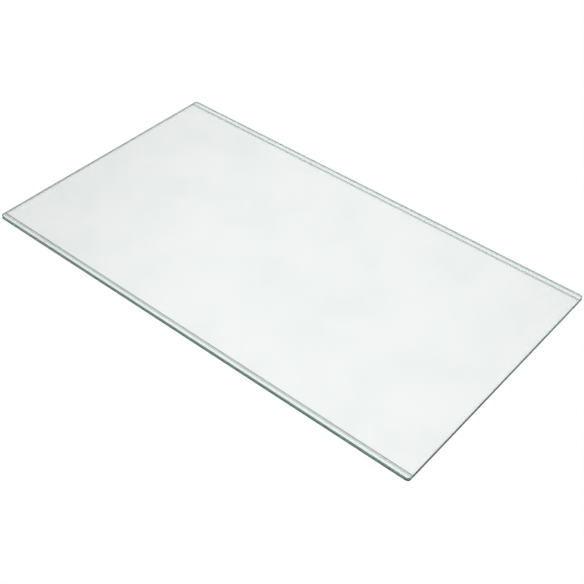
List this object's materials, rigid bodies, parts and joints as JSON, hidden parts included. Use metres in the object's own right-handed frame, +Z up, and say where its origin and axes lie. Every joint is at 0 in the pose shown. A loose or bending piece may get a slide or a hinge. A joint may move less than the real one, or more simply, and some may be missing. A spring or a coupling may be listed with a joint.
{
  "type": "refrigerator glass shelf",
  "caption": "Flat rectangular clear glass pane with small rounded corners, seamed edges and a shallow locating groove under each long edge; rests on a refrigerator's ribs as a shelf.",
  "frame": {"origin": "centre of the underside, on the surface the shelf rests on", "axes": "+X along the long edges, +Y across the depth to the back, +Z up out of the top face"},
  "size_m": [0.475, 0.268, 0.004],
  "materials": {
    "glass": "clear toughened float glass with satin ground edges"
  },
  "bodies": {
    "root": {"glass_panel": "glass"}
  },
  "joints": []
}
